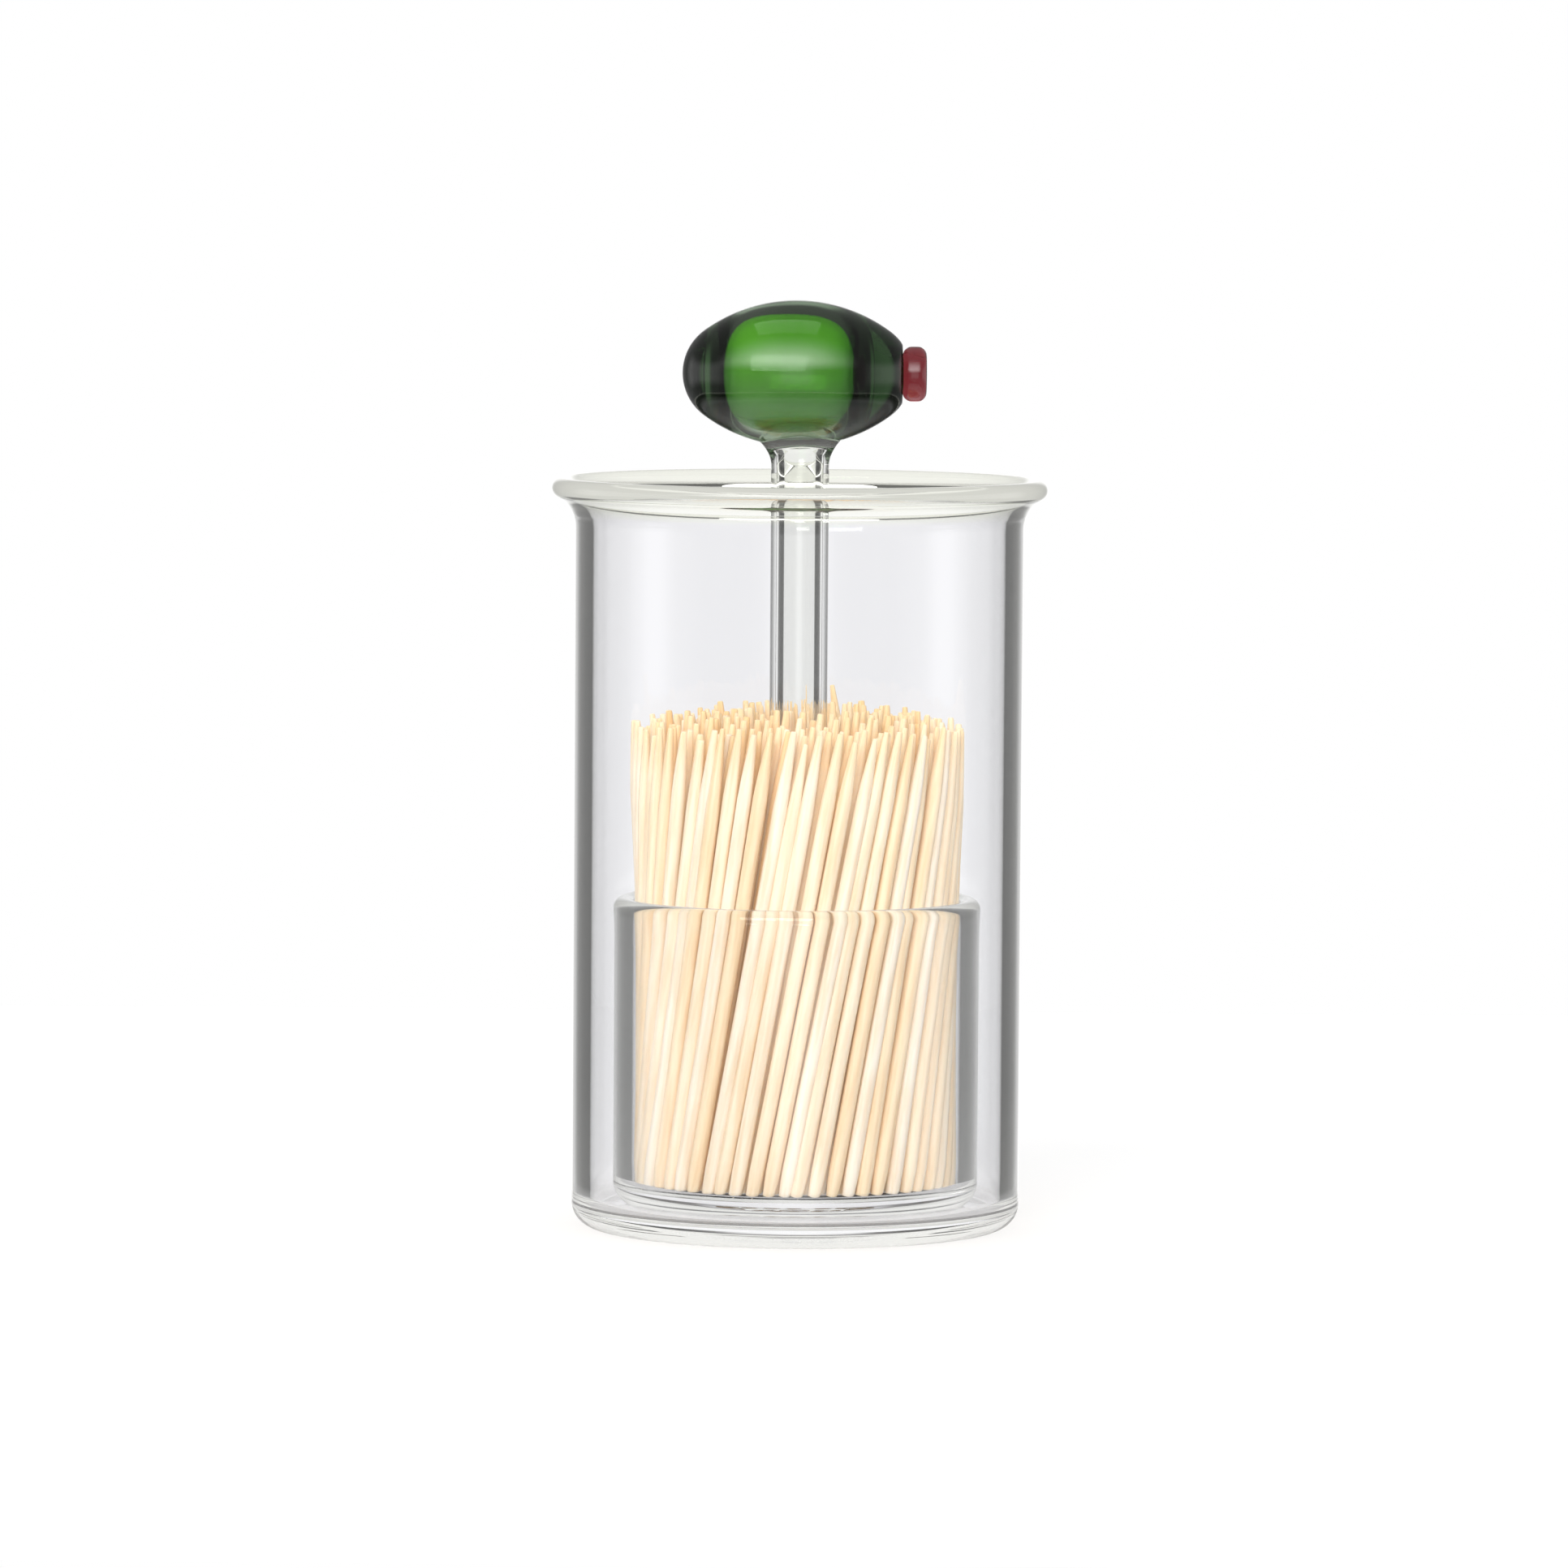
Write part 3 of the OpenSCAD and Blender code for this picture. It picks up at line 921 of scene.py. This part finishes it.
def make_world():
    """White all round, but what glass bends far aside is darker, and what it mirrors is a studio
    of grey panels with one soft box in front."""
    world = bpy.data.worlds.new("studio")
    bpy.context.scene.world = world
    world.use_nodes = True
    nt = world.node_tree
    nt.nodes.clear()

    def put(socket, value):
        if isinstance(value, (int, float)):
            socket.default_value = value
        else:
            nt.links.new(value, socket)

    def maths(operation, a, b=0.0):
        node = nt.nodes.new("ShaderNodeMath")
        node.operation = operation
        put(node.inputs[0], a)
        put(node.inputs[1], b)
        return node.outputs["Value"]

    def ease(value, start, end, low=0.0, high=1.0):
        node = nt.nodes.new("ShaderNodeMapRange")
        node.interpolation_type = "SMOOTHSTEP"
        names = ("Value", "From Min", "From Max", "To Min", "To Max")
        for name, number in zip(names, (value, start, end, low, high)):
            put(node.inputs[name], number)
        return node.outputs["Result"]

    path = nt.nodes.new("ShaderNodeLightPath")
    way = nt.nodes.new("ShaderNodeTexCoord")
    split = nt.nodes.new("ShaderNodeSeparateXYZ")
    nt.links.new(way.outputs["Generated"], split.inputs["Vector"])
    x, y, z = (split.outputs[axis] for axis in "XYZ")

    def aside(degrees):
        return math.sin(math.radians(degrees)) ** 2

    # Angle round from the front, and its squared sine: 0 in front and behind, 1 at the sides
    turn = maths("ARCTAN2", x, maths("MULTIPLY", y, -1.0))
    sine = maths("SINE", turn)
    way_aside = maths("MULTIPLY", sine, sine)
    # How many surfaces of glass a ray has crossed, and 1 while it has crossed none
    crossed = path.outputs["Transmission Depth"]
    first = maths("LESS_THAN", crossed, 0.5)
    deep = maths("GREATER_THAN", crossed, DEEP)
    level = ease(maths("ABSOLUTE", z), *BENT_STEEP, 1.0, 0.0)

    # What mirrored rays see: walls, soft box and floor
    spread = maths("SUBTRACT", 1.0, maths("MULTIPLY", deep, 1 - DEEP_SPREAD))
    panels = nt.nodes.new("ShaderNodeValToRGB")
    nt.links.new(maths("MULTIPLY", way_aside, spread), panels.inputs["Fac"])
    while len(panels.color_ramp.elements) < len(PANELS):
        panels.color_ramp.elements.new(0.5)
    for element, (degrees, tone) in zip(panels.color_ramp.elements, PANELS):
        element.position = aside(degrees)
        element.color = (tone, tone, tone, 1)
    sides = ease(way_aside, aside(SIDES_FROM), aside(SIDES_TO), 0.0, SIDES)
    sides = maths("MULTIPLY", sides, first)
    beside = ease(way_aside, aside(BESIDE_FROM), aside(BESIDE_TO))
    later = maths("MULTIPLY", maths("MULTIPLY", beside, BESIDE), maths("SUBTRACT", 1.0, first))
    sides = maths("ADD", sides, later)
    walls = maths("ADD", panels.outputs["Color"], sides)
    walls = ease(maths("ABSOLUTE", z), *WALL_EDGE, walls, CEILING)
    off_centre = maths("ABSOLUTE", maths("ADD", turn, math.radians(BOX_TURN)))
    box = maths("MULTIPLY", ease(off_centre, *BOX_SIDES, 1.0, 0.0), ease(z, *BOX_FOOT))
    box = maths("MULTIPLY", box, ease(z, *BOX_HEAD, BOX_LIGHT, 0.0))
    box = maths("MULTIPLY", maths("ADD", box, ROOM_LIGHT), first)
    mirrored = ease(z, *GROUND, 1.0, maths("ADD", walls, box))

    # How much darker bent rays find the white
    darkest = maths("ADD", BENT_DARK, maths("MULTIPLY", deep, DEEP_BENT_DARK - BENT_DARK))
    dip = maths("MULTIPLY", ease(way_aside, aside(BENT_FROM), aside(BENT_TO)), darkest)
    dip = maths("MULTIPLY", dip, maths("SUBTRACT", 1.0, beside))
    dip = maths("MULTIPLY", maths("MULTIPLY", dip, level), maths("MINIMUM", crossed, 1.0))

    shade = nt.nodes.new("ShaderNodeMix")
    shade.data_type = "FLOAT"
    put(shade.inputs["Factor"], maths("MINIMUM", path.outputs["Glossy Depth"], 1.0))
    put(shade.inputs["A"], maths("SUBTRACT", 1.0, dip))
    put(shade.inputs["B"], mirrored)
    back = nt.nodes.new("ShaderNodeBackground")
    back.inputs["Color"].default_value = (1, 1, 1, 1)
    put(back.inputs["Strength"], shade.outputs["Result"])
    out = nt.nodes.new("ShaderNodeOutputWorld")
    nt.links.new(back.outputs["Background"], out.inputs["Surface"])


def area_lamp(name, at, towards, size, watts):
    """A lamp that lights matt surfaces and stays out of what glass mirrors."""
    data = bpy.data.lights.new(name, "AREA")
    data.shape = "RECTANGLE"
    data.size, data.size_y = size
    data.energy = watts
    ob = bpy.data.objects.new(name, data)
    bpy.context.scene.collection.objects.link(ob)
    ob.location = at
    ob.rotation_euler = (Vector(towards) - Vector(at)).to_track_quat("-Z", "Y").to_euler()
    ob.visible_glossy = False


def make_camera():
    """The photograph's view: a long lens a little above the rim, rolled by less than a degree."""
    # In millimetres and degrees, and the focal length in pixels of the photograph
    distance, height, side = 1398, 161.8, -1.93
    pitch, roll = 4.08, -0.4
    focal_px, frame_px, sensor = 12350, 1932, 36
    data = bpy.data.cameras.new("camera")
    data.sensor_width = sensor
    data.lens = sensor * focal_px / frame_px
    data.clip_start = 0.05
    data.clip_end = 20
    ob = bpy.data.objects.new("camera", data)
    bpy.context.scene.collection.objects.link(ob)
    turn = Matrix.Rotation(math.radians(90 - pitch), 4, "X") @ Matrix.Rotation(
        math.radians(-roll), 4, "Z"
    )
    ob.matrix_world = Matrix.Translation(Vector((side, -distance, height)) * MM) @ turn
    bpy.context.scene.camera = ob


# Build

jar = lathe("jar_glass", [jar_outline()])
outward(jar)
dress(jar, glass("clear_glass_jar", **JAR_GLASS))
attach(jar, "jar")
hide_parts("glass_jar")

cup = make_cup()
dress(cup, glass("clear_glass_cup", **CUP_GLASS))
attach(cup, "cup")
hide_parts("pick_cup", "handle_stem")

olive = make_olive()
dress(olive, coloured_glass("green_glass", **OLIVE_GLASS))
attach(olive, "cup")
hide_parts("olive")

pimento = make_pimento()
dress(pimento, coloured_glass("red_glass", **PIMENTO_GLASS))
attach(pimento, "cup")
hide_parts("pimento")

rng = random.Random(SEED)
bamboo = wood("bamboo")
for node, lift in RINGS:
    picks = make_picks("bamboo_" + node, node, rng, UNEVEN, lift)
    dress(picks, bamboo)
    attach(picks, "cup")
    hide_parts(node)
drawn = make_picks("bamboo_drawn_toothpick", "drawn_toothpick", rng)
dress(drawn, bamboo)
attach(drawn, "loose_pick")
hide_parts("drawn_toothpick")

make_floor()
make_world()
for lamp in LAMPS:
    area_lamp(*lamp)
make_camera()
bpy.context.scene.view_settings.view_transform = "Standard"
